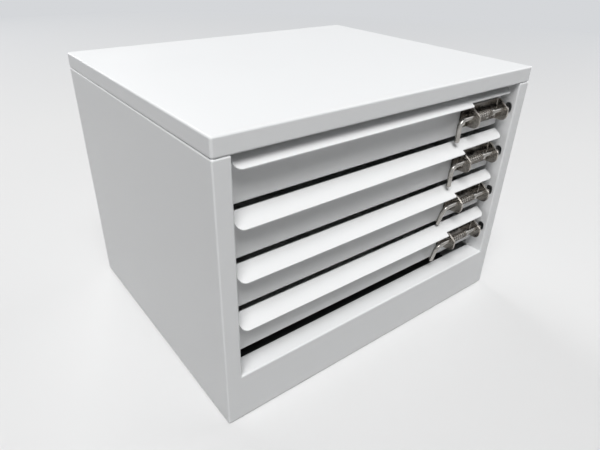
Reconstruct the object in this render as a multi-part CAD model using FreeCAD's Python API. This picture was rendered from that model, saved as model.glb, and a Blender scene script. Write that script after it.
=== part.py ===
import FreeCAD
import Part
import math
import os

Vector = FreeCAD.Vector

# Drawer unit of folded sheet steel. Millimetres, X to the right, Y to the back, Z up.
# The origin is the middle of the base, on the floor.

# Carcass
width = 600.0
depth = 490.0
height = 435.0
cover_height = 25.0
cover_corner = 4.0
stile_width = 25.0
stile_return = 60.0
rail_height = 81.0
rail_flange = 20.0
ledge_depth = 34.0
ledge_return = 12.0
panel_flange = 15.0
base_upturn = 20.0
sheet = 1.2
bend = 1.5
upright_width = 40.0
upright_flange = 12.0
upright_inset = 20.0

# Drawers
drawer_count = 4
top_gap = 4.5
front_gap = 6.5
bottom_gap = 20.0
side_gap = 5.5
front_recess = 27.0
front_return = 15.0
drawer_sheet = 1.2
lip_angle = 31.0
lip_setback = 0.5
lip_corner = 10.0
notch_depth = 7.0
notch_margin = 4.0
notch_corner = 2.0
tray_drop = 16.25
rear_gap = 40.0

# Runners
slide_margin = 5.0
slide_thickness = 12.7
slide_stand = 3.2
slide_end = 18.0
slide_lip = 5.0
slide_sheet = 1.2
slide_bend = 0.5
slide_start = 2.0
play = 0.3

# Spring bolt latch
latch_inset = 9.5
bracket_length = 98.0
bracket_width = 35.0
bracket_plate = 3.0
bracket_bend = 2.0
bracket_rise = 14.0
foot_length = 17.5
foot_corner = 4.0
ear_reach = 25.5
ear_front_height = 21.0
ear_slope = 36.0
ear_corner = 10.0
ear_ease = 3.0
axis_rise = 18.5
axis_out = 14.5
bolt_diameter = 8.0
bolt_throw = 12.0
nose_gap = 2.5
nose_chamfer = 1.5
elbow_gap = 10.5
handle_bend = 12.0
handle_clearance = 3.0
leaning_count = 2
keeper_width = 12.5
keeper_height = 18.5
spring_room = 1.0
spring_wire = 1.5
spring_length = 40.0
spring_turns = 6
wire_sides = 6
collar_length = 5.0
pin_diameter = 3.0
pin_reach = 2.0

# Fixings
screw_diameter = 3.5
screw_head = 7.0
screw_head_height = 2.4
screw_drop = 11.5
foot_screw_inset = 8.5
ear_screw_inset = 25.0
nut_flats = 6.0
nut_height = 2.8
rivet_diameter = 4.0
rivet_head = 7.0
rivet_head_height = 1.4
rivet_tail = 2.5
rivet_rows = 5
rivet_inset = 40.0
cover_screw_inset = 60.0

# Places that follow from the sizes above
half = width / 2
front = -depth / 2
back = depth / 2
body_top = height - cover_height
stile_face = half - stile_width
fold = bend + sheet
drawer_fold = bend + drawer_sheet
front_half = stile_face - side_gap
front_face = front + front_recess
front_back = front_face + drawer_sheet
stack_height = body_top - top_gap - rail_height - bottom_gap
front_height = (stack_height - front_gap * (drawer_count - 1)) / drawer_count
lip_front = front + lip_setback
tray_half = stile_face - slide_thickness
tray_rear = back - 2 * sheet - rear_gap
tray_height = front_height - tray_drop
slide_height = tray_height - 2 * slide_margin
slide_front = front_back + slide_start
slide_back = tray_rear - slide_end
bolt_radius = bolt_diameter / 2
spring_mean = bolt_diameter + 2 * spring_room + spring_wire
collar_diameter = spring_mean + spring_wire
pin_length = bolt_diameter + 2 * pin_reach
axis_height = bracket_rise + axis_rise
handle_drop = axis_height + front_gap - handle_clearance
bolt_y = front_face - axis_out
bracket_right = front_half - latch_inset
bracket_left = bracket_right - bracket_length
ear_left = bracket_left + foot_length
spring_left = ear_left + bracket_plate
collar_left = spring_left + spring_length
collar_right = collar_left + collar_length
pin_x = collar_right + play + pin_diameter / 2
handle_x = ear_left - bolt_throw - elbow_gap - handle_bend
nose_x = stile_face - nose_gap
lean = math.degrees(math.asin((axis_out - bolt_radius - 2 * play) / (handle_drop + bolt_radius)))
over = 5.0


def plan(z):
    return lambda point: Vector(point.x, point.y, z)


def section(x):
    return lambda point: Vector(x, point.x, point.y)


def block(x0, x1, y0, y1, z0, z1):
    return Part.makeBox(x1 - x0, y1 - y0, z1 - z0, Vector(x0, y0, z0))


def rod(start, direction, radius, length):
    return Part.makeCylinder(radius, length, start, direction)


# Flat face inside a closed outline, with an arc of its own radius at each corner.
def rounded_face(corners, radii, place):
    ends = []
    edges = []
    for i, corner in enumerate(corners):
        behind = (corners[i - 1] - corner).normalize()
        ahead = (corners[(i + 1) % len(corners)] - corner).normalize()
        half_angle = behind.getAngle(ahead) / 2
        reach = radii[i] / math.tan(half_angle)
        arc_start = corner + behind * reach
        arc_end = corner + ahead * reach
        ends.append((arc_start, arc_end))
        if radii[i] > 0:
            inward = (behind + ahead).normalize()
            middle = corner + inward * (radii[i] / math.sin(half_angle) - radii[i])
            edges.append(Part.Arc(place(arc_start), place(middle), place(arc_end)).toShape())
    for i, (start, end) in enumerate(ends):
        following = ends[(i + 1) % len(ends)][0]
        if end.distanceToPoint(following) > 1e-6:
            edges.append(Part.LineSegment(place(end), place(following)).toShape())
    return Part.Face(Part.Wire(Part.__sortEdges__(edges)))


def prism(corners, radii, place, run):
    points = [Vector(a, b, 0) for a, b in corners]
    return rounded_face(points, radii, place).extrude(run)


# Sheet folded along the middle of its thickness, with one inside radius at every fold.
def bent_sheet(path, thickness, inside, place, run):
    points = [Vector(a, b, 0) for a, b in path]
    steps = [(q - p).normalize() for p, q in zip(points, points[1:])]
    normals = [Vector(-step.y, step.x, 0) for step in steps]
    left = []
    right = []
    for i, point in enumerate(points):
        arriving = normals[max(i - 1, 0)]
        leaving = normals[min(i, len(normals) - 1)]
        offset = (arriving + leaving) * (thickness / 2 / (1 + arriving.dot(leaving)))
        turn = arriving.cross(leaving).z
        is_fold = 0 < i < len(points) - 1
        left.append((point + offset, is_fold * (inside + thickness * (turn < 0))))
        right.append((point - offset, is_fold * (inside + thickness * (turn > 0))))
    outline = left + right[::-1]
    corners = [corner for corner, radius in outline]
    radii = [radius for corner, radius in outline]
    return rounded_face(corners, radii, place).extrude(run)


# Block with every edge rounded except those of its open top.
def tub(x0, x1, y0, y1, z0, z1, radius):
    shape = block(x0, x1, y0, y1, z0, z1)
    edges = [edge for edge in shape.Edges if edge.BoundBox.ZMin < z1 - 1e-6]
    return shape.makeFillet(radius, edges)


# Rounds the outer fold at the top and bottom of a standing shape; the fold runs on round its corners.
def round_ends(shape, x, z0, z1, radius):
    edges = []
    for edge in shape.Edges:
        box = edge.BoundBox
        along_side = box.XLength < 1e-6 and abs(box.XMin - x) < 1e-6 and box.ZLength < 1e-6
        if along_side and min(abs(box.ZMin - z0), abs(box.ZMin - z1)) < 1e-6:
            edges.append(edge)
    return shape.makeFillet(radius, edges)


def front_bottom(number):
    return body_top - top_gap - front_height * number - front_gap * (number - 1)


def bolt_z(number):
    return front_bottom(number) + axis_height


def slide_z(number):
    return front_bottom(number) + drawer_sheet + tray_height / 2


def mirrored(shape):
    return shape.mirror(Vector(0, 0, 0), Vector(1, 0, 0))


# One side: outer wall, stile with its return, and flanges at the back, top and bottom.
def side_panel():
    rise = Vector(0, 0, body_top)
    flange_x = half - panel_flange
    return_end = front + stile_return
    outer = [(half, back), (half, front), (stile_face, front), (stile_face, return_end),
             (flange_x, return_end), (flange_x, back)]
    shell = prism(outer, [fold, fold, fold, 0, 0, 0], plan(0), rise)
    shell = round_ends(shell, half, 0, body_top, fold)
    wall = half - sheet
    inner = [(wall, back - sheet), (wall, front + sheet), (stile_face + sheet, front + sheet),
             (stile_face + sheet, return_end + over), (flange_x - over, return_end + over),
             (flange_x - over, back - sheet)]
    hollow = prism(inner, [bend, bend, bend, 0, 0, 0], plan(sheet), Vector(0, 0, body_top - 2 * sheet))
    hollow = round_ends(hollow, wall, sheet, body_top - sheet, bend)
    rail_room = block(stile_face - over, stile_face + fold, front - over, return_end + over,
                      -over, rail_height)
    pan_room = block(stile_face - over, flange_x, front + rail_flange, return_end + over, -over, fold)
    return shell.cut([hollow, rail_room, pan_room])


# The right side, with an upright keeper slot for the nose of each bolt.
def keeper_side_panel():
    panel = side_panel()
    near = bolt_y - keeper_width / 2
    far = bolt_y + keeper_width / 2
    for number in range(1, drawer_count + 1):
        low = bolt_z(number) - keeper_height / 2
        high = bolt_z(number) + keeper_height / 2
        corners = [(near, low), (far, low), (far, high), (near, high)]
        run = Vector(sheet + 2 * over, 0, 0)
        panel = panel.cut(prism(corners, [keeper_width / 2] * 4, section(stile_face - over), run))
    return panel


def back_panel():
    edge = half - fold - play
    return block(-edge, edge, back - 2 * sheet, back - sheet, fold + play, body_top - fold - play)


def base_pan():
    edge = half - panel_flange - sheet / 2
    start = front + rail_flange
    run = Vector(0, back - 2 * sheet - start, 0)
    path = [(-edge, base_upturn), (-edge, sheet / 2), (edge, sheet / 2), (edge, base_upturn)]
    return bent_sheet(path, sheet, bend, lambda point: Vector(point.x, start, point.y), run)


def bottom_rail():
    edge = stile_face + fold
    face = front + sheet / 2
    ledge = rail_height - sheet / 2
    rear = front + ledge_depth - sheet / 2
    path = [(front + rail_flange, sheet / 2), (face, sheet / 2), (face, ledge), (rear, ledge),
            (rear, rail_height - ledge_return)]
    return bent_sheet(path, sheet, bend, section(-edge), Vector(2 * edge, 0, 0))


# Shallow tray turned upside down, with a flange folded in all round its lower edge.
def top_cover():
    def slab(inset, corner, z0, z1):
        x = half - inset
        y = back - inset
        corners = [(-x, -y), (x, -y), (x, y), (-x, y)]
        return prism(corners, [corner] * 4, plan(z0), Vector(0, 0, z1 - z0))

    shell = slab(0, cover_corner, body_top, height)
    shell = round_ends(shell, half, body_top, height, fold)
    hollow = slab(sheet, cover_corner - sheet, body_top + sheet, height - sheet)
    hollow = round_ends(hollow, half - sheet, body_top + sheet, height - sheet, bend)
    opening = slab(panel_flange, bend, body_top - over, body_top + over)
    return shell.cut([hollow, opening])


# Hat section welded inside a side wall, which carries the rear ends of the runners.
def upright():
    seat = half - 1.5 * sheet
    crown = stile_face + sheet / 2
    end = slide_back - upright_inset
    start = end - upright_width
    path = [(seat, start - upright_flange), (seat, start), (crown, start), (crown, end),
            (seat, end), (seat, end + upright_flange)]
    run = Vector(0, 0, body_top - fold - base_upturn)
    return bent_sheet(path, sheet, bend, plan(base_upturn), run)


# Drawer front folded in one piece with the sloping finger lip above it.
def drawer_front(number):
    bottom = front_bottom(number)
    middle = front_face + drawer_sheet / 2
    turn = math.radians(90 + lip_angle)
    fold_middle = bend + drawer_sheet / 2
    ridge = bottom + front_height - drawer_fold + fold_middle * math.tan(turn / 2)
    reach = front_recess + over
    tip = (middle - reach, ridge - reach * math.tan(math.radians(lip_angle)))
    path = [(middle + front_return, bottom + drawer_sheet / 2), (middle, bottom + drawer_sheet / 2),
            (middle, ridge), tip]
    blank = bent_sheet(path, drawer_sheet, bend, section(-front_half), Vector(2 * front_half, 0, 0))
    notch = bracket_left - notch_margin
    rear = front_back + front_return + over
    trim = [(-front_half, rear), (-front_half, lip_front), (notch, lip_front),
            (notch, lip_front + notch_depth), (front_half, lip_front + notch_depth), (front_half, rear)]
    radii = [0, lip_corner, notch_corner, notch_corner, lip_corner, 0]
    outline = prism(trim, radii, plan(bottom - over), Vector(0, 0, front_height + 2 * over))
    sheet_part = blank.common(outline)
    for x in screw_places():
        sheet_part = sheet_part.cut(screw_hole(x, number))
    return sheet_part


def drawer_tray(number):
    floor = front_bottom(number) + drawer_sheet
    top = floor + tray_height
    outer = tub(-tray_half, tray_half, front_back, tray_rear, floor, top, drawer_fold)
    room = tray_half - drawer_sheet
    inner = tub(-room, room, front_back + drawer_sheet, tray_rear - drawer_sheet, floor + drawer_sheet,
                top + over, bend)
    tray = outer.cut(inner)
    for x in screw_places():
        tray = tray.cut(screw_hole(x, number))
    return tray


# Lipped channel fixed to the carcass, on the right.
def slide_outer(number):
    wall = slide_sheet / 2
    flange = slide_height / 2 - wall
    lip = slide_thickness - slide_stand - wall
    lip_end = slide_height / 2 - slide_lip
    path = [(lip, lip_end), (lip, flange), (wall, flange), (wall, -flange), (lip, -flange), (lip, -lip_end)]
    return runner(path, number)


# Hat section fixed to the tray, whose flanges run behind the lips of the channel, on the right.
def slide_inner(number):
    web = slide_thickness - slide_sheet / 2
    flange = slide_thickness - slide_stand - slide_sheet - play - slide_sheet / 2
    leg = slide_height / 2 - slide_lip - play - slide_sheet / 2
    edge = slide_height / 2 - slide_sheet - play
    path = [(flange, edge), (flange, leg), (web, leg), (web, -leg), (flange, -leg), (flange, -edge)]
    return runner(path, number)


# A runner section measured from the carcass towards the tray, run along the drawer.
def runner(path, number):
    def place(point):
        return Vector(stile_face - point.x, slide_front, slide_z(number) + point.y)

    return bent_sheet(path, slide_sheet, slide_bend, place, Vector(0, slide_back - slide_front, 0))


def screw_places():
    return [bracket_left + foot_screw_inset, bracket_right - ear_screw_inset]


def screw_hole(x, number):
    start = Vector(x, front_face - bracket_plate - over, bolt_z(number) - screw_drop)
    length = bracket_plate + 2 * drawer_sheet + 2 * over
    return rod(start, Vector(0, 1, 0), screw_diameter / 2 + play / 2, length)


# Strap screwed to the drawer front and folded up into one ear, with a second ear welded on; the bolt
# runs in both. The ears slope under the finger lip.
def latch_bracket(number):
    web = front_face - bracket_plate / 2
    tip = front_face - ear_reach
    low = front_bottom(number) + bracket_rise
    high = low + bracket_width
    rise = Vector(0, 0, bracket_width)
    fold_x = bracket_right - bracket_plate / 2
    path = [(bracket_left, web), (fold_x, web), (fold_x, tip)]
    folded = bent_sheet(path, bracket_plate, bracket_bend, plan(low), rise)
    welded = block(ear_left, ear_left + bracket_plate, tip, web, low, high)
    strap = folded.fuse(welded).removeSplitter()
    slope_run = (bracket_width - ear_front_height) / math.tan(math.radians(ear_slope))
    ear = [(front_face, low), (front_face, high), (tip + slope_run, high), (tip, low + ear_front_height),
           (tip, low)]
    radii = [0, 0, ear_ease, ear_ease, ear_corner]
    strap = strap.common(prism(ear, radii, section(bracket_left), Vector(bracket_length, 0, 0)))
    face = [(bracket_left, low), (bracket_right, low), (bracket_right, high), (bracket_left, high)]
    strap = strap.common(prism(face, [foot_corner, 0, 0, foot_corner],
                               lambda point: Vector(point.x, tip, point.y), Vector(0, ear_reach, 0)))
    start = Vector(bracket_left - over, bolt_y, bolt_z(number))
    strap = strap.cut(rod(start, Vector(1, 0, 0), bolt_radius + play, bracket_length + 2 * over))
    for x in screw_places():
        strap = strap.cut(screw_hole(x, number))
    return strap


# Pan-head screws through strap, front and tray, each with a hexagon nut inside the tray.
def latch_fixings(number):
    pieces = []
    grip = bracket_plate + 2 * drawer_sheet
    along = Vector(0, 1, 0)
    for x in screw_places():
        seat = Vector(x, front_face - bracket_plate, bolt_z(number) - screw_drop)
        head = rod(seat, -along, screw_head / 2, screw_head_height)
        rim = [edge for edge in head.Edges if edge.BoundBox.YMax < seat.y - screw_head_height / 2]
        head = head.makeChamfer(screw_head_height / 2, rim)
        shank = rod(seat, along, screw_diameter / 2, grip + nut_height + screw_diameter / 4)
        pieces.append(head.fuse(shank).removeSplitter())
        face = seat + along * grip
        corner = nut_flats / math.sqrt(3)
        turns = [math.radians(60 * k) for k in range(7)]
        hexagon = [face + Vector(corner * math.cos(t), 0, corner * math.sin(t)) for t in turns]
        nut = Part.Face(Part.makePolygon(hexagon)).extrude(along * nut_height)
        pieces.append(nut.cut(rod(face, along, screw_diameter / 2 + play / 2, nut_height)))
    return Part.makeCompound(pieces)


# Round bolt bent down into a handle, with its nose at the keeper slot. The lowest handles lean inwards.
def latch_bolt(number):
    axis = Vector(0, bolt_y, bolt_z(number))
    bend_x = handle_x + handle_bend
    bend_start = axis + Vector(bend_x, 0, 0)
    bend_centre = bend_start - Vector(0, 0, handle_bend)
    tip = axis + Vector(handle_x, 0, -handle_drop)
    along = Vector(1, 0, 0)
    shank = rod(bend_start, along, bolt_radius, nose_x - bend_x)
    disc = Part.Face(Part.Wire(Part.makeCircle(bolt_radius, bend_start, along)))
    elbow = disc.revolve(bend_centre, Vector(0, -1, 0), 90)
    leg = rod(tip, Vector(0, 0, 1), bolt_radius, handle_drop - handle_bend)
    bar = shank.fuse([elbow, leg]).removeSplitter()
    nose_rim = [edge for edge in bar.Edges if edge.BoundBox.XMin > nose_x - 1e-3]
    bar = bar.makeChamfer(nose_chamfer, nose_rim)
    tip_rim = [edge for edge in bar.Edges if edge.BoundBox.ZMax < tip.z + 1e-3]
    bar = bar.makeChamfer(nose_chamfer, tip_rim)
    start = Vector(pin_x, bolt_y, axis.z - pin_length / 2)
    bar = bar.cut(rod(start, Vector(0, 0, 1), pin_diameter / 2 + play / 10, pin_length))
    bar.rotate(axis, Vector(1, 0, 0), handle_angle(number))
    return bar


def handle_angle(number):
    return lean if number > drawer_count - leaning_count else 0


# Cross pin through the bolt, against which the spring pushes the collar.
def latch_pin(number):
    axis = Vector(0, bolt_y, bolt_z(number))
    start = axis + Vector(pin_x, 0, -pin_length / 2)
    pin = rod(start, Vector(0, 0, 1), pin_diameter / 2, pin_length)
    pin.rotate(axis, Vector(1, 0, 0), handle_angle(number))
    return pin


# Loose ring on the bolt between spring and pin.
def latch_collar(number):
    start = Vector(collar_left, bolt_y, bolt_z(number))
    ring = rod(start, Vector(1, 0, 0), collar_diameter / 2, collar_length)
    return ring.cut(rod(start, Vector(1, 0, 0), bolt_radius + play, collar_length))


# Middle point of the arc that leaves start along the line to knee and ends at end.
def arc_middle(start, knee, end):
    chord_middle = (start + end) * 0.5
    side = start.distanceToPoint(knee)
    inward = chord_middle - knee
    half_angle = math.acos(inward.Length / side)
    reach = side / math.cos(half_angle) - side * math.tan(half_angle)
    return knee + inward.normalize() * reach


# Two arcs from one point and direction to another, joined smoothly.
def biarc(start, start_way, end, end_way):
    span = end - start
    ways = start_way + end_way
    spread = 2 * (1 - start_way.dot(end_way))
    along = span.dot(ways)
    arm = (math.sqrt(along * along + spread * span.dot(span)) - along) / spread
    knee = start + start_way * arm
    other_knee = end - end_way * arm
    join = (knee + other_knee) * 0.5
    return [Part.Arc(start, arc_middle(start, knee, join), join),
            Part.Arc(join, arc_middle(join, other_knee, end), end)]


# Centre line of the spring about the X axis: half turns of helix between two straight ends.
def spring_route():
    radius = spring_mean / 2
    lead_turn = math.pi / 2
    lead = spring_wire + radius / 2
    pitch = (spring_length - 2 * lead) / (spring_turns - 0.5)
    slope = pitch / (2 * math.pi)

    def on_helix(angle):
        place = Vector(lead + slope * angle, radius * math.cos(angle), radius * math.sin(angle))
        way = Vector(slope, -radius * math.sin(angle), radius * math.cos(angle))
        return place, way.normalize()

    def straight(x, angle):
        return Vector(x, radius * math.cos(angle), radius * math.sin(angle)), Vector(1, 0, 0)

    last = 2 * math.pi * (spring_turns - 0.5)
    halves = [on_helix(math.pi * k) for k in range(2 * spring_turns)]
    entry = straight(spring_wire, -lead_turn)
    leave = straight(spring_length - spring_wire, last + lead_turn)
    stations = [entry] + halves + [leave]
    first = Part.LineSegment(straight(0, -lead_turn)[0], entry[0])
    final = Part.LineSegment(leave[0], straight(spring_length, last + lead_turn)[0])
    route = [first]
    for (p, way), (q, next_way) in zip(stations, stations[1:]):
        route += biarc(p, way, q, next_way)
    return route + [final]


# Least distance between stretches of the wire a turn apart, less the wire itself.
def least_gap(route):
    step = spring_wire / 3
    points = []
    for piece in route:
        points += piece.toShape().discretize(Distance=step)[:-1]
    apart = int(spring_mean * 1.5 / step)
    pairs = [p.distanceToPoint(q) for i, p in enumerate(points) for q in points[i + apart:]]
    return min(pairs) - spring_wire


# Coil spring round the bolt, from the left ear to the collar.
def latch_spring(number, route):
    wire = Part.Wire([piece.toShape() for piece in route])
    start = wire.Edges[0].valueAt(wire.Edges[0].FirstParameter)
    turns = [2 * math.pi * k / wire_sides for k in range(wire_sides + 1)]
    corners = [start + Vector(0, math.cos(t), math.sin(t)) * (spring_wire / 2) for t in turns]
    ring = Part.Wire(Part.makePolygon(corners))
    sweep = Part.BRepOffsetAPI.MakePipeShell(wire)
    sweep.add(ring, False, False)
    sweep.build()
    sweep.makeSolid()
    spring = sweep.shape()
    spring.translate(Vector(spring_left, bolt_y, bolt_z(number)))
    return spring


# A rivet along the given way: a low head at the seat, a shank and a set tail behind.
def rivet(seat, way, grip):
    head = rod(seat, -way, rivet_head / 2, rivet_head_height)
    shank = rod(seat, way, rivet_diameter / 2, grip + rivet_tail)
    return head.fuse(shank).removeSplitter()


# Rivets that hold the back panel to the rear flanges of the side panels.
def rivet_seats():
    x = half - panel_flange / 2
    low = rivet_inset
    high = body_top - rivet_inset
    rise = (high - low) / (rivet_rows - 1)
    return [Vector(side * x, back, low + rise * row) for side in (-1, 1) for row in range(rivet_rows)]


def back_rivets():
    return Part.makeCompound([rivet(seat, Vector(0, -1, 0), 2 * sheet) for seat in rivet_seats()])


# Screws from inside the carcass up into the flange of the cover.
def cover_seats():
    x = half - panel_flange / 2
    y = back - cover_screw_inset
    return [Vector(side * x, end * y, body_top - sheet) for side in (-1, 1) for end in (-1, 1)]


def cover_screws():
    return Part.makeCompound([rivet(seat, Vector(0, 0, 1), 2 * sheet) for seat in cover_seats()])


def drilled(shape, seats, way):
    for seat in seats:
        shape = shape.cut(rod(seat - way * over, way, rivet_diameter / 2 + play / 2, 2 * over))
    return shape


def carcass():
    across = Vector(0, 1, 0)
    rise = Vector(0, 0, 1)
    left = drilled(drilled(mirrored(side_panel()), rivet_seats(), across), cover_seats(), rise)
    right = drilled(drilled(keeper_side_panel(), rivet_seats(), across), cover_seats(), rise)
    return {
        "side_panel_left": left,
        "side_panel_right": right,
        "back_panel": drilled(back_panel(), rivet_seats(), across),
        "base_pan": base_pan(),
        "bottom_rail": bottom_rail(),
        "top_cover": drilled(top_cover(), cover_seats(), rise),
        "upright_left": mirrored(upright()),
        "upright_right": upright(),
        "back_rivets": back_rivets(),
        "cover_screws": cover_screws(),
    }


def drawer(number, route):
    outer = slide_outer(number)
    inner = slide_inner(number)
    pieces = {
        "slide_outer_left": mirrored(outer),
        "slide_outer_right": outer,
        "slide_inner_left": mirrored(inner),
        "slide_inner_right": inner,
        "drawer_front": drawer_front(number),
        "drawer_tray": drawer_tray(number),
        "latch_bracket": latch_bracket(number),
        "latch_fixings": latch_fixings(number),
        "latch_spring": latch_spring(number, route),
        "latch_collar": latch_collar(number),
        "latch_bolt": latch_bolt(number),
        "latch_pin": latch_pin(number),
    }
    return {f"{name}_{number}": shape for name, shape in pieces.items()}


def main():
    os.makedirs("parts", exist_ok=True)
    route = spring_route()
    print(f"least gap of the spring to itself {least_gap(route):.2f} mm")
    nodes = carcass()
    for number in range(1, drawer_count + 1):
        nodes.update(drawer(number, route))
    for name, shape in nodes.items():
        solids = len(shape.Solids)
        print(f"{name}: {solids} solid, valid {shape.isValid()}, {shape.Volume:.0f} mm3")
        shape.exportStep(f"parts/{name}.step")


main()
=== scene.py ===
import math
import bmesh
import bpy
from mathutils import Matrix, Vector


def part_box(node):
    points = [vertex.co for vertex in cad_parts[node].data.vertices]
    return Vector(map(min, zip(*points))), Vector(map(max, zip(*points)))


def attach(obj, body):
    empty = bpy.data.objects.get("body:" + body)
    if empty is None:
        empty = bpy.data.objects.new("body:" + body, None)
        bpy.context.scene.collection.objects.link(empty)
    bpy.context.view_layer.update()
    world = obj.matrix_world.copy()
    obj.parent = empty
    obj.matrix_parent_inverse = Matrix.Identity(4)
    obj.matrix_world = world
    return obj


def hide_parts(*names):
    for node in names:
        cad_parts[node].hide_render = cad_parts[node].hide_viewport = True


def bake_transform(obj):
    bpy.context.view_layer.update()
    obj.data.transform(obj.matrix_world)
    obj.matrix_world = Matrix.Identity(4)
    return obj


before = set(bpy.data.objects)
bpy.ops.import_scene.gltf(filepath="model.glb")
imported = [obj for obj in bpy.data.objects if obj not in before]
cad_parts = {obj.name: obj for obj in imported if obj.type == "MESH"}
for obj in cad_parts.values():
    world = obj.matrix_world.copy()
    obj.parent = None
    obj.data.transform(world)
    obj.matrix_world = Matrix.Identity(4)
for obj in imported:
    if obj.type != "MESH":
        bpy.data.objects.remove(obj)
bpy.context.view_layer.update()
scene = bpy.context.scene
drawerNumbers = [1, 2, 3, 4]
print("frame loaded:", len(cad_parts), "nodes")


# node helpers shared by materials and geometry trees
def link(tree, source, target):
    tree.links.new(source, target)


# a number or a colour is set on the socket, an output is wired to it
def feed(tree, value, socket):
    if isinstance(value, (int, float, tuple)):
        socket.default_value = value
    else:
        link(tree, value, socket)


def mathNode(tree, operation, first, second):
    node = tree.nodes.new("ShaderNodeMath")
    node.operation = operation
    feed(tree, first, node.inputs[0])
    feed(tree, second, node.inputs[1])
    return node.outputs[0]


def noiseNode(tree, vector, scale, detail):
    node = tree.nodes.new("ShaderNodeTexNoise")
    node.inputs["Detail"].default_value = detail
    feed(tree, scale, node.inputs["Scale"])
    link(tree, vector, node.inputs["Vector"])
    return node.outputs["Fac"]


def rangeNode(tree, value, low, high, toLow, toHigh):
    node = tree.nodes.new("ShaderNodeMapRange")
    link(tree, value, node.inputs["Value"])
    limits = {"From Min": low, "From Max": high, "To Min": toLow, "To Max": toHigh}
    for label, limit in limits.items():
        feed(tree, limit, node.inputs[label])
    return node.outputs["Result"]


def mappedVector(tree, vector, label, setting):
    node = tree.nodes.new("ShaderNodeMapping")
    node.inputs[label].default_value = setting
    link(tree, vector, node.inputs["Vector"])
    return node.outputs["Vector"]


# inputs 6 and 7 and output 2 are the colour sockets of the Mix node
def mixColour(tree, factor, first, second):
    node = tree.nodes.new("ShaderNodeMix")
    node.data_type = "RGBA"
    link(tree, factor, node.inputs[0])
    feed(tree, first, node.inputs[6])
    feed(tree, second, node.inputs[7])
    return node.outputs[2]


def groupTree(name, kind, inputs, outputs):
    tree = bpy.data.node_groups.new(name, kind)
    for label, socket, value in inputs:
        made = tree.interface.new_socket(label, in_out="INPUT", socket_type=socket)
        if value is not None:
            made.default_value = value
    for label, socket in outputs:
        tree.interface.new_socket(label, in_out="OUTPUT", socket_type=socket)
    return tree, tree.nodes.new("NodeGroupInput"), tree.nodes.new("NodeGroupOutput")


surfaceOutputs = [("Colour", "NodeSocketColor"), ("Roughness", "NodeSocketFloat"),
                  ("Height", "NodeSocketFloat")]

# powder coat: broad tone drift, fine speckle, orange peel and a little gloss variation
coatLook = {
    "driftScale": 2.2, "driftDetail": 0, "driftSpan": (0.2, 0.8), "driftShare": 0.6,
    "speckleScale": 900.0, "speckleDetail": 2, "speckleSpan": (0.25, 0.75), "speckleShare": 0.4,
    "smearScale": 9.0, "smearDetail": 1, "smearSpan": (0.2, 0.8), "smearDepth": 0.03,
    "peelDetail": 1.5, "peelSlant": (0.52, 0.83, 0.37),
}


def powderCoatGroup(look):
    tree, given, result = groupTree(
        "powderCoat", "ShaderNodeTree",
        [("Vector", "NodeSocketVector", None),
         ("Colour", "NodeSocketColor", (0.8, 0.8, 0.8, 1)),
         ("Drift Colour", "NodeSocketColor", (0.75, 0.75, 0.75, 1)),
         ("Roughness", "NodeSocketFloat", 0.3),
         ("Peel Scale", "NodeSocketFloat", 700.0)],
        surfaceOutputs)
    values = given.outputs
    vector = values["Vector"]
    broad = noiseNode(tree, vector, look["driftScale"], look["driftDetail"])
    broad = rangeNode(tree, broad, *look["driftSpan"], 0.0, look["driftShare"])
    speckle = noiseNode(tree, vector, look["speckleScale"], look["speckleDetail"])
    speckle = rangeNode(tree, speckle, *look["speckleSpan"], 0.0, look["speckleShare"])
    drift = mathNode(tree, "ADD", broad, speckle)
    link(tree, mixColour(tree, drift, values["Colour"], values["Drift Colour"]), result.inputs["Colour"])
    smear = noiseNode(tree, vector, look["smearScale"], look["smearDetail"])
    smear = rangeNode(tree, smear, *look["smearSpan"], -look["smearDepth"], look["smearDepth"])
    link(tree, mathNode(tree, "ADD", values["Roughness"], smear), result.inputs["Roughness"])
    slanted = mappedVector(tree, vector, "Rotation", look["peelSlant"])  # off the planes of the flat sheets
    link(tree, noiseNode(tree, slanted, values["Peel Scale"], look["peelDetail"]), result.inputs["Height"])
    return tree


# plated metal: drawn grain, dull patches, and painted shade, a dark colour on whatever lies behind a depth
# along Y
plateLook = {
    "patchDetail": 5, "patchSpan": (0.42, 0.72), "dullRoughness": 0.14,
    "grainScale": 1800.0, "grainDetail": 3, "grainStretch": (0.06, 1, 1),
    "grainSpan": (0.3, 0.7), "haze": (-0.04, 0.08),
}


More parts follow.
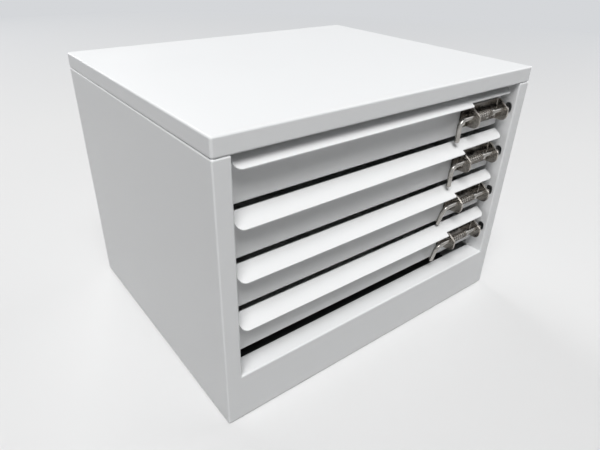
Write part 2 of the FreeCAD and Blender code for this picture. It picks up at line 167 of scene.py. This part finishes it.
def platedMetalGroup(look):
    tree, given, result = groupTree(
        "platedMetal", "ShaderNodeTree",
        [("Vector", "NodeSocketVector", None),
         ("Colour", "NodeSocketColor", (0.6, 0.6, 0.6, 1)),
         ("Dull Colour", "NodeSocketColor", (0.3, 0.3, 0.3, 1)),
         ("Roughness", "NodeSocketFloat", 0.2),
         ("Patch Scale", "NodeSocketFloat", 60.0),
         ("Painted Shade Colour", "NodeSocketColor", (0.1, 0.1, 0.1, 1)),
         ("Painted Shade Start", "NodeSocketFloat", 1.0),
         ("Painted Shade End", "NodeSocketFloat", 2.0)],
        surfaceOutputs)
    values = given.outputs
    vector = values["Vector"]
    patches = noiseNode(tree, vector, values["Patch Scale"], look["patchDetail"])
    dull = rangeNode(tree, patches, *look["patchSpan"], 0.0, 1.0)
    dulled = mixColour(tree, dull, values["Colour"], values["Dull Colour"])
    # painted shade: past a depth along Y the colour runs to a dark tone, standing in for the shade in the
    # recess under the lip
    place = tree.nodes.new("ShaderNodeSeparateXYZ")
    link(tree, vector, place.inputs[0])
    paintedShade = rangeNode(tree, place.outputs["Y"], values["Painted Shade Start"], values["Painted Shade End"], 0.0, 1.0)
    link(tree, mixColour(tree, paintedShade, dulled, values["Painted Shade Colour"]), result.inputs["Colour"])
    drawn = mappedVector(tree, vector, "Scale", look["grainStretch"])
    grain = noiseNode(tree, drawn, look["grainScale"], look["grainDetail"])
    haze = rangeNode(tree, grain, *look["grainSpan"], *look["haze"])
    hazed = mathNode(tree, "ADD", values["Roughness"], haze)
    dullness = mathNode(tree, "MULTIPLY", dull, look["dullRoughness"])
    link(tree, mathNode(tree, "ADD", hazed, dullness), result.inputs["Roughness"])
    link(tree, grain, result.inputs["Height"])
    return tree


finishGroups = {"powderCoat": powderCoatGroup(coatLook), "platedMetal": platedMetalGroup(plateLook)}


# one finish from a shared group; numbers that are alike all over stay on the shader itself
def finish(name, spec):
    material = bpy.data.materials.new(name)
    material.use_nodes = True
    tree = material.node_tree
    shader = tree.nodes["Principled BSDF"]
    coords = tree.nodes.new("ShaderNodeTexCoord")
    effect = tree.nodes.new("ShaderNodeGroup")
    effect.node_tree = finishGroups[spec["group"]]
    link(tree, coords.outputs["Object"], effect.inputs["Vector"])
    for label, value in spec["inputs"].items():
        effect.inputs[label].default_value = value
    bump = tree.nodes.new("ShaderNodeBump")
    bump.inputs["Strength"].default_value = spec["bump"]
    bump.inputs["Distance"].default_value = spec["bumpDepth"]
    link(tree, effect.outputs["Height"], bump.inputs["Height"])
    link(tree, effect.outputs["Colour"], shader.inputs["Base Color"])
    link(tree, effect.outputs["Roughness"], shader.inputs["Roughness"])
    link(tree, bump.outputs["Normal"], shader.inputs["Normal"])
    for label, value in spec["shader"].items():
        shader.inputs[label].default_value = value
    return material


cabinetPaint = {
    "group": "powderCoat", "bump": 0.05, "bumpDepth": 0.0003,
    "inputs": {"Colour": (0.83, 0.838, 0.842, 1), "Drift Colour": (0.815, 0.823, 0.828, 1),
               "Roughness": 0.32, "Peel Scale": 420.0},
    "shader": {"Metallic": 0.0, "IOR": 1.5},
}
drawerPaint = {
    "group": "powderCoat", "bump": 0.05, "bumpDepth": 0.0003,
    "inputs": {"Colour": (0.83, 0.836, 0.838, 1), "Drift Colour": (0.815, 0.821, 0.822, 1),
               "Roughness": 0.32, "Peel Scale": 480.0},
    "shader": {"Metallic": 0.0, "IOR": 1.5},
}
# near-black base pan: painted shade, a dark sheet put inside so the interior seen through the drawer gaps
# reads dark
paintedShadeBase = {
    "group": "powderCoat", "bump": 0.05, "bumpDepth": 0.0003,
    "inputs": {"Colour": (0.075, 0.076, 0.078, 1), "Drift Colour": (0.06, 0.061, 0.063, 1),
               "Roughness": 0.5, "Peel Scale": 420.0},
    "shader": {"Metallic": 0.0, "IOR": 1.5},
}
# nickel strap; its last few mm towards the drawer front take the dark colour as painted shade under the lip
nickelPlate = {
    "group": "platedMetal", "bump": 0.04, "bumpDepth": 0.0002,
    "inputs": {"Colour": (0.455, 0.426, 0.39, 1), "Dull Colour": (0.335, 0.312, 0.283, 1),
               "Roughness": 0.17, "Patch Scale": 60.0, "Painted Shade Colour": (0.062, 0.056, 0.050, 1),
               "Painted Shade Start": -0.2235, "Painted Shade End": -0.2205},
    "shader": {"Metallic": 1.0},
}
boltSteel = {
    "group": "platedMetal", "bump": 0.04, "bumpDepth": 0.0002,
    "inputs": {"Colour": (0.42, 0.404, 0.38, 1), "Dull Colour": (0.31, 0.296, 0.275, 1),
               "Roughness": 0.14, "Patch Scale": 90.0},
    "shader": {"Metallic": 1.0},
}
springWire = {
    "group": "platedMetal", "bump": 0.05, "bumpDepth": 0.0001,
    "inputs": {"Colour": (0.30, 0.276, 0.248, 1), "Dull Colour": (0.20, 0.184, 0.165, 1),
               "Roughness": 0.5, "Patch Scale": 160.0},
    "shader": {"Metallic": 1.0},
}
zincRunner = {
    "group": "platedMetal", "bump": 0.08, "bumpDepth": 0.0002,
    "inputs": {"Colour": (0.62, 0.63, 0.64, 1), "Dull Colour": (0.46, 0.47, 0.48, 1),
               "Roughness": 0.34, "Patch Scale": 40.0},
    "shader": {"Metallic": 1.0},
}
zincFastener = {
    "group": "platedMetal", "bump": 0.06, "bumpDepth": 0.0001,
    "inputs": {"Colour": (0.62, 0.61, 0.58, 1), "Dull Colour": (0.44, 0.43, 0.41, 1),
               "Roughness": 0.26, "Patch Scale": 120.0},
    "shader": {"Metallic": 1.0},
}
finishSpecs = {
    "cabinetPaint": cabinetPaint, "drawerPaint": drawerPaint, "paintedShadeBase": paintedShadeBase,
    "nickelPlate": nickelPlate, "boltSteel": boltSteel, "springWire": springWire,
    "zincRunner": zincRunner, "zincFastener": zincFastener,
}
finishes = {name: finish(name, spec) for name, spec in finishSpecs.items()}

# finish of each CAD node, by the start of its name
nodeFinish = {
    "side_panel": "cabinetPaint", "back_panel": "cabinetPaint", "base_pan": "paintedShadeBase",
    "bottom_rail": "cabinetPaint", "top_cover": "cabinetPaint", "upright": "cabinetPaint",
    "drawer_front": "drawerPaint", "drawer_tray": "drawerPaint", "slide": "zincRunner",
    "latch_bracket": "nickelPlate", "latch_collar": "boltSteel", "latch_bolt": "boltSteel",
    "latch_pin": "boltSteel", "latch_spring": "springWire", "latch_fixings": "zincFastener",
    "back_rivets": "zincFastener", "cover_screws": "zincFastener",
}


def finishFor(name):
    return finishes[next(key for start, key in nodeFinish.items() if name.startswith(start))]


for nodeName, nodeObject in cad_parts.items():
    nodeObject.data.materials.clear()
    nodeObject.data.materials.append(finishFor(nodeName))
print("finishes set:", len(finishes))


def newObject(name, data):
    made = bpy.data.objects.new(name, data)
    scene.collection.objects.link(made)
    return made


# what a holder's modifiers or bevel make, as a plain mesh; the holder itself goes
def plainMesh(name, holder):
    evaluated = holder.evaluated_get(bpy.context.evaluated_depsgraph_get())
    mesh = bpy.data.meshes.new_from_object(evaluated)
    mesh.name = name
    holder.modifiers.clear()
    bpy.data.objects.remove(holder)
    return mesh


def addPiece(name, mesh, body, node):
    piece = newObject(name, mesh)
    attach(piece, body)
    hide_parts(node)


# a copy of a folded or stamped node whose cut edges are eased, as deburred sheet is
edgeEase = {"merge": 1e-6, "flat": 0.6, "segments": 3, "sharp": 50.0, "strap": 0.0007, "front": 0.0003}


def easedCopy(node, pieceName, width, body):
    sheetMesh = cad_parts[node].data.copy()
    work = bmesh.new()
    work.from_mesh(sheetMesh)
    bmesh.ops.remove_doubles(work, verts=work.verts, dist=edgeEase["merge"])
    bmesh.ops.dissolve_limit(work, angle_limit=math.radians(edgeEase["flat"]),
                             verts=work.verts, edges=work.edges)
    work.to_mesh(sheetMesh)
    work.free()
    sheetMesh.shade_smooth()
    holder = newObject(pieceName + "Blank", sheetMesh)
    bevel = holder.modifiers.new("ease", "BEVEL")
    bevel.width = width
    bevel.segments = edgeEase["segments"]
    bevel.limit_method = "ANGLE"
    bevel.angle_limit = math.radians(edgeEase["sharp"])
    holder.modifiers.new("flatFaces", "WEIGHTED_NORMAL")  # keeps the wide faces flat in shading
    addPiece(pieceName, plainMesh(pieceName, holder), body, node)


for number in drawerNumbers:
    easedCopy(f"latch_bracket_{number}", f"latchStrap{number}", edgeEase["strap"],
              f"drawer_{number}")
    easedCopy(f"drawer_front_{number}", f"drawerFront{number}", edgeEase["front"],
              f"drawer_{number}")
print("edges eased")


# shapes shared by the fastener trees, each standing on its seat along Z
def zOffset(tree, value):
    node = tree.nodes.new("ShaderNodeCombineXYZ")
    link(tree, value, node.inputs["Z"])
    return node.outputs[0]


def moved(tree, geometry, value):
    node = tree.nodes.new("GeometryNodeTransform")
    link(tree, geometry, node.inputs["Geometry"])
    link(tree, zOffset(tree, value), node.inputs["Translation"])
    return node.outputs[0]


def cylinder(tree, radius, depth, sides):
    node = tree.nodes.new("GeometryNodeMeshCylinder")
    node.inputs["Vertices"].default_value = sides
    link(tree, radius, node.inputs["Radius"])
    link(tree, depth, node.inputs["Depth"])
    return node.outputs["Mesh"]


# a shank that hangs below the seat
def shank(tree, size, sides):
    rod = cylinder(tree, size["Shank Radius"], size["Shank Length"], sides)
    return moved(tree, rod, mathNode(tree, "MULTIPLY", size["Shank Length"], -0.5))


# a turned head: a circle of radius 1 runs up a line and is scaled by its crown at each ring
def roundedHead(tree, size, crown):
    line = tree.nodes.new("GeometryNodeCurvePrimitiveLine")
    link(tree, zOffset(tree, size["Head Height"]), line.inputs["End"])
    rings = tree.nodes.new("GeometryNodeResampleCurve")
    rings.inputs["Count"].default_value = crown["rings"]
    link(tree, line.outputs[0], rings.inputs["Curve"])
    along = tree.nodes.new("GeometryNodeSplineParameter").outputs["Factor"]
    fall = mathNode(tree, "SUBTRACT", 1.0, mathNode(tree, "POWER", along, crown["fullness"]))
    spread = mathNode(tree, "MULTIPLY", mathNode(tree, "POWER", fall, crown["edge"]), size["Head Radius"])
    circle = tree.nodes.new("GeometryNodeCurvePrimitiveCircle")
    circle.inputs["Resolution"].default_value = crown["sides"]
    circle.inputs["Radius"].default_value = 1.0
    head = tree.nodes.new("GeometryNodeCurveToMesh")
    head.inputs["Fill Caps"].default_value = True
    link(tree, rings.outputs[0], head.inputs["Curve"])
    link(tree, spread, head.inputs["Scale"])
    link(tree, circle.outputs[0], head.inputs["Profile Curve"])
    return head.outputs[0]


def cutFrom(tree, solid, tools):
    node = tree.nodes.new("GeometryNodeMeshBoolean")
    node.operation = "DIFFERENCE"
    link(tree, solid, node.inputs["Mesh 1"])
    for tool in tools:
        link(tree, tool, node.inputs["Mesh 2"])
    return node.outputs["Mesh"]


# a tree with an input for each size of the fastener
def fastenerTree(name, spec):
    sizes = [(label, "NodeSocketFloat", value) for label, value in spec["sizes"].items()]
    return groupTree(
        name, "GeometryNodeTree",
        [("Seats", "NodeSocketGeometry", None), *sizes,
         ("Turn", "NodeSocketVector", spec["turn"]),
         ("Finish", "NodeSocketMaterial", None)],
        [("Fasteners", "NodeSocketGeometry")])


# joins the shapes of one fastener, sets it out on the seats and dresses it
def setOut(tree, given, result, shapes):
    joined = tree.nodes.new("GeometryNodeJoinGeometry")
    for shape in shapes:
        link(tree, shape, joined.inputs[0])
    spread = tree.nodes.new("GeometryNodeInstanceOnPoints")
    link(tree, given.outputs["Seats"], spread.inputs["Points"])
    link(tree, joined.outputs[0], spread.inputs["Instance"])
    link(tree, given.outputs["Turn"], spread.inputs["Rotation"])
    real = tree.nodes.new("GeometryNodeRealizeInstances")
    link(tree, spread.outputs[0], real.inputs[0])
    dressed = tree.nodes.new("GeometryNodeSetMaterial")
    link(tree, real.outputs[0], dressed.inputs["Geometry"])
    link(tree, given.outputs["Finish"], dressed.inputs["Material"])
    link(tree, dressed.outputs[0], result.inputs["Fasteners"])


# runs a fastener tree on loose points and hands back a plain mesh
def growMesh(name, tree, seats, spec):
    points = bpy.data.meshes.new(name + "Seats")
    points.from_pydata([tuple(seat) for seat in seats], [], [])
    holder = newObject(name + "Seats", points)
    modifier = holder.modifiers.new(name, "NODES")
    modifier.node_group = tree
    values = {**spec["sizes"], "Turn": spec["turn"], "Finish": finishes[spec["finish"]]}
    for item in tree.interface.items_tree:
        if item.in_out == "INPUT" and item.name in values:
            modifier[item.identifier] = values[item.name]
    return plainMesh(name, holder)


# pan-head screws with a cross recess, each with its hexagon nut
latchScrew = {
    "sizes": {"Head Radius": 0.0035, "Head Height": 0.0024, "Shank Radius": 0.00175,
              "Shank Length": 0.0091, "Recess Depth": 0.0013, "Nut Corner": 0.00346,
              "Nut Height": 0.0028, "Grip": 0.0054},
    "crown": {"fullness": 3.0, "edge": 0.34, "rings": 14, "sides": 32},
    "recessArm": 1.2, "recessBlade": 0.24, "shankSides": 24, "nutSides": 6,
    "turn": (math.radians(90), 0, 0), "finish": "zincFastener",
}


def screwTree(spec):
    tree, given, result = fastenerTree("panHeadScrews", spec)
    size = given.outputs
    head = roundedHead(tree, size, spec["crown"])
    arm = mathNode(tree, "MULTIPLY", size["Head Radius"], spec["recessArm"])
    blade = mathNode(tree, "MULTIPLY", size["Head Radius"], spec["recessBlade"])
    slots = []
    for longX, longY in [(arm, blade), (blade, arm)]:
        box = tree.nodes.new("GeometryNodeMeshCube")
        extent = tree.nodes.new("ShaderNodeCombineXYZ")
        link(tree, longX, extent.inputs["X"])
        link(tree, longY, extent.inputs["Y"])
        link(tree, mathNode(tree, "MULTIPLY", size["Recess Depth"], 2.0), extent.inputs["Z"])
        link(tree, extent.outputs[0], box.inputs["Size"])
        slots.append(moved(tree, box.outputs["Mesh"], size["Head Height"]))
    halfNut = mathNode(tree, "MULTIPLY", size["Nut Height"], 0.5)
    nutMiddle = mathNode(tree, "ADD", size["Grip"], halfNut)
    nut = cylinder(tree, size["Nut Corner"], size["Nut Height"], spec["nutSides"])
    nut = moved(tree, nut, mathNode(tree, "MULTIPLY", nutMiddle, -1.0))
    setOut(tree, given, result, [cutFrom(tree, head, slots), shank(tree, size, spec["shankSides"]), nut])
    return tree


screwNodes = screwTree(latchScrew)
screwSize = latchScrew["sizes"]
screwInset = max(screwSize["Head Radius"], screwSize["Nut Corner"])
for number in drawerNumbers:
    node = f"latch_fixings_{number}"
    low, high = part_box(node)
    seatY = low.y + screwSize["Head Height"]
    middleZ = (low.z + high.z) / 2
    seats = [Vector((x, seatY, middleZ)) for x in (low.x + screwInset, high.x - screwInset)]
    mesh = growMesh(f"latchScrews{number}", screwNodes, seats, latchScrew)
    addPiece(f"latchScrews{number}", mesh, f"drawer_{number}", node)
print("latch screws made")

# blind rivets: a low dome with the hollow left by the pulled pin
backRivet = {
    "sizes": {"Head Radius": 0.0035, "Head Height": 0.0014, "Shank Radius": 0.002,
              "Shank Length": 0.0049, "Pin Radius": 0.0011, "Pin Depth": 0.0007},
    "crown": {"fullness": 2.2, "edge": 0.45, "rings": 14, "sides": 32},
    "hollowSides": 20, "shankSides": 24, "rows": 5,
    "turn": (math.radians(-90), 0, 0), "finish": "zincFastener",
}


def rivetTree(spec):
    tree, given, result = fastenerTree("blindRivets", spec)
    size = given.outputs
    head = roundedHead(tree, size, spec["crown"])
    hollowDepth = mathNode(tree, "MULTIPLY", size["Pin Depth"], 2.0)
    hollow = cylinder(tree, size["Pin Radius"], hollowDepth, spec["hollowSides"])
    hollow = moved(tree, hollow, size["Head Height"])
    setOut(tree, given, result, [cutFrom(tree, head, [hollow]), shank(tree, size, spec["shankSides"])])
    return tree


low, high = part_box("back_rivets")
rivetInset = backRivet["sizes"]["Head Radius"]
seatY = high.y - backRivet["sizes"]["Head Height"]
rise = (high.z - low.z - 2 * rivetInset) / (backRivet["rows"] - 1)
seats = [Vector((x, seatY, low.z + rivetInset + rise * row))
         for x in (low.x + rivetInset, high.x - rivetInset) for row in range(backRivet["rows"])]
mesh = growMesh("backRivets", rivetTree(backRivet), seats, backRivet)
addPiece("backRivets", mesh, "carcass", "back_rivets")
print("rivets set")

# coil springs: closed end turns, even pitch between, wire of one thickness
coil = {"turns": 6, "endTurns": 1.0, "endPitch": 1.05, "wire": 0.0015,
        "stepsPerTurn": 40, "wireRounding": 6}
coilTurns = coil["turns"] + 2 * coil["endTurns"]


# how far along its length the wire has come after some turns
def coilAdvance(turn, length):
    endLift = coil["endTurns"] * coil["wire"] * coil["endPitch"]
    if turn < coil["endTurns"]:
        return endLift * turn / coil["endTurns"]
    if turn > coilTurns - coil["endTurns"]:
        return length - endLift * (coilTurns - turn) / coil["endTurns"]
    share = (turn - coil["endTurns"]) / coil["turns"]
    return endLift + (length - 2 * endLift) * share


for number in drawerNumbers:
    node = f"latch_spring_{number}"
    low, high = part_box(node)
    ringLow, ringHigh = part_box(f"latch_collar_{number}")
    axisY = (ringLow.y + ringHigh.y) / 2
    axisZ = (ringLow.z + ringHigh.z) / 2
    radius = (ringHigh.z - ringLow.z) / 2 - coil["wire"] / 2
    left = low.x + coil["wire"] / 2
    length = high.x - low.x - coil["wire"]
    steps = int(coilTurns * coil["stepsPerTurn"])
    curve = bpy.data.curves.new(f"coil{number}", "CURVE")
    curve.dimensions = "3D"
    curve.bevel_depth = coil["wire"] / 2
    curve.bevel_resolution = coil["wireRounding"]
    curve.use_fill_caps = True
    spline = curve.splines.new("POLY")
    spline.points.add(steps)
    for step in range(steps + 1):
        turn = coilTurns * step / steps
        angle = 2 * math.pi * turn
        spline.points[step].co = (left + coilAdvance(turn, length),
                                  axisY + radius * math.cos(angle),
                                  axisZ + radius * math.sin(angle), 1)
    mesh = plainMesh(f"latchCoil{number}", newObject(f"coilCurve{number}", curve))
    mesh.materials.clear()
    mesh.materials.append(finishes["springWire"])
    mesh.shade_smooth()
    piece = newObject(f"latchCoil{number}", mesh)
    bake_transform(piece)
    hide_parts(node)
print("springs wound")


# rays that see the surroundings: straight from the camera, or by way of gloss or glass
def shownRays(tree):
    rays = tree.nodes.new("ShaderNodeLightPath").outputs
    seen = mathNode(tree, "MAXIMUM", rays["Is Camera Ray"], rays["Is Glossy Ray"])
    return mathNode(tree, "MAXIMUM", seen, rays["Is Transmission Ray"])


# pale floor that runs into the sky far from the object
floorSpec = {
    "size": 60.0, "drop": 0.0005, "seen": (0.74, 0.74, 0.74, 1), "bounced": (0.26, 0.26, 0.26, 1),
    "roughness": 0.8, "farColour": (0.95, 0.97, 1.0, 1), "farStrength": 0.70,
    "fadeFrom": 1.2, "fadeTo": 4.0,
}
half = floorSpec["size"] / 2
floorCorners = [(-half, -half, 0), (half, -half, 0), (half, half, 0), (-half, half, 0)]
floorMesh = bpy.data.meshes.new("studioFloor")
floorMesh.from_pydata(floorCorners, [], [(0, 1, 2, 3)])
floorMaterial = bpy.data.materials.new("studioFloor")
floorMaterial.use_nodes = True
floorTree = floorMaterial.node_tree
floorShader = floorTree.nodes["Principled BSDF"]
floorShader.inputs["Roughness"].default_value = floorSpec["roughness"]
floorShown = shownRays(floorTree)
link(floorTree, mixColour(floorTree, floorShown, floorSpec["bounced"], floorSpec["seen"]),
     floorShader.inputs["Base Color"])
distance = floorTree.nodes.new("ShaderNodeVectorMath")
distance.operation = "LENGTH"
link(floorTree, floorTree.nodes.new("ShaderNodeTexCoord").outputs["Object"], distance.inputs[0])
fade = rangeNode(floorTree, distance.outputs["Value"], floorSpec["fadeFrom"], floorSpec["fadeTo"], 0.0, 1.0)
farGlow = floorTree.nodes.new("ShaderNodeEmission")
farGlow.inputs["Color"].default_value = floorSpec["farColour"]
farGlow.inputs["Strength"].default_value = floorSpec["farStrength"]
farMix = floorTree.nodes.new("ShaderNodeMixShader")
link(floorTree, mathNode(floorTree, "MULTIPLY", floorShown, fade), farMix.inputs[0])
link(floorTree, floorShader.outputs[0], farMix.inputs[1])
link(floorTree, farGlow.outputs[0], farMix.inputs[2])
link(floorTree, farMix.outputs[0], floorTree.nodes["Material Output"].inputs["Surface"])
floorMesh.materials.append(floorMaterial)
floor = newObject("studioFloor", floorMesh)
floor.location.z = -floorSpec["drop"]

# soft key high in front and to the left, weak fills behind and to the right
lamps = {
    "highKey": {"place": (-2.8, -3.45, 7.55), "aim": (0, 0, 0.25), "size": 4.4, "power": 755.0},
    "rearFill": {"place": (0.6, 4.6, 4.4), "aim": (0, 0, 0.3), "size": 2.2, "power": 78.0},
    "sideRim": {"place": (5.0, -0.9, 3.9), "aim": (0.2, -0.2, 0.3), "size": 4.0, "power": 50.0},
    "lowRight": {"place": (5.6, 0.4, 1.05), "aim": (0.3, 0, 0.22), "size": 1.7, "power": 46.0},
    "lowBack": {"place": (-0.5, 5.6, 1.05), "aim": (0, 0.25, 0.22), "size": 1.7, "power": 46.0},
}
for lampName, spec in lamps.items():
    lampData = bpy.data.lights.new(lampName, "AREA")
    lampData.shape = "SQUARE"
    lampData.size = spec["size"]
    lampData.energy = spec["power"]
    lamp = newObject(lampName, lampData)
    lamp.location = spec["place"]
    aim = Vector(spec["aim"]) - Vector(spec["place"])
    lamp.rotation_euler = aim.to_track_quat("-Z", "Y").to_euler()

skySpec = {"colour": (0.95, 0.97, 1.0, 1), "strength": 0.05, "seen": 0.70}
sky = bpy.data.worlds.new("studioSky")
sky.use_nodes = True
skyTree = sky.node_tree
background = skyTree.nodes["Background"]
background.inputs["Color"].default_value = skySpec["colour"]
skyGlow = rangeNode(skyTree, shownRays(skyTree), 0.0, 1.0, skySpec["strength"], skySpec["seen"])
link(skyTree, skyGlow, background.inputs["Strength"])
scene.world = sky

# camera as the photograph was taken
cameraSpec = {"place": (-0.5278, -0.6854, 0.6172), "turn": (59.953, -1.328, -37.518),
              "lens": 30.361, "sensor": 36.0}
cameraData = bpy.data.cameras.new("photoCamera")
cameraData.sensor_width = cameraSpec["sensor"]
cameraData.lens = cameraSpec["lens"]
camera = newObject("photoCamera", cameraData)
camera.location = cameraSpec["place"]
camera.rotation_euler = [math.radians(angle) for angle in cameraSpec["turn"]]
scene.camera = camera
scene.view_settings.view_transform = "Standard"
print("stage set")
